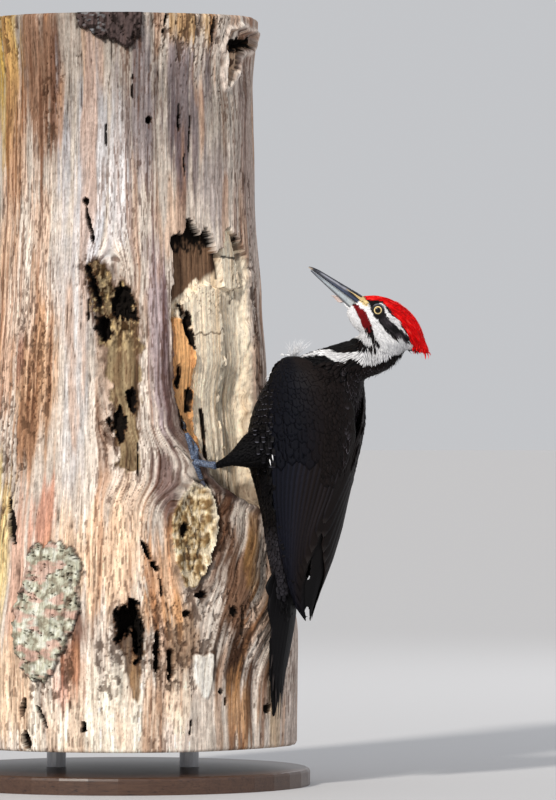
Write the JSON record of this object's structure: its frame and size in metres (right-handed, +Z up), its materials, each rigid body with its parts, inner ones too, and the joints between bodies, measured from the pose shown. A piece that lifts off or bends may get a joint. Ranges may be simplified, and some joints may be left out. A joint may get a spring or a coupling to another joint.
{
  "type": "model of a woodpecker on a trunk",
  "caption": "Life-size still model of a crested woodpecker clinging to a cut length of dead trunk, held on a plain round stand.",
  "frame": {"origin": "centre of the stand base's underside, on the floor", "axes": "+Z up along the trunk, +X to the side the bird clings on, -Y towards the viewer"},
  "size_m": [0.4586, 0.35, 0.714],
  "materials": {
    "plumage_black": "feathered, satin",
    "plumage_white": "feathered, matt",
    "plumage_red": "feathered, satin",
    "bill_horn": "horn, half gloss",
    "eye": "wet gloss",
    "leg_scales": "scaly, satin",
    "claw_horn": "horn, half gloss",
    "dead_wood": "bare, weathered",
    "stand_board": "satin",
    "stand_metal": "brushed"
  },
  "bodies": {
    "root": {"stand_base": "stand_board", "stand_rod_left": "stand_metal", "stand_rod_right": "stand_metal", "perch_trunk": "dead_wood", "head": "plumage_red", "crest": "plumage_red", "neck": "plumage_white", "torso": "plumage_black", "wing_left": "plumage_black", "wing_right": "plumage_black", "tail": "plumage_black", "thigh_left": "plumage_black", "thigh_right": "plumage_black", "shank_left": "leg_scales", "shank_right": "leg_scales", "toe_left_1": "leg_scales", "toe_left_2": "leg_scales", "toe_left_3": "leg_scales", "toe_left_4": "leg_scales", "toe_right_1": "leg_scales", "toe_right_2": "leg_scales", "toe_right_3": "leg_scales", "toe_right_4": "leg_scales", "claw_left_1": "claw_horn", "claw_left_2": "claw_horn", "claw_left_3": "claw_horn", "claw_left_4": "claw_horn", "claw_right_1": "claw_horn", "claw_right_2": "claw_horn", "claw_right_3": "claw_horn", "claw_right_4": "claw_horn", "bill_upper": "bill_horn", "bill_lower": "bill_horn", "eye_left": "eye", "eye_right": "eye"}
  },
  "joints": []
}
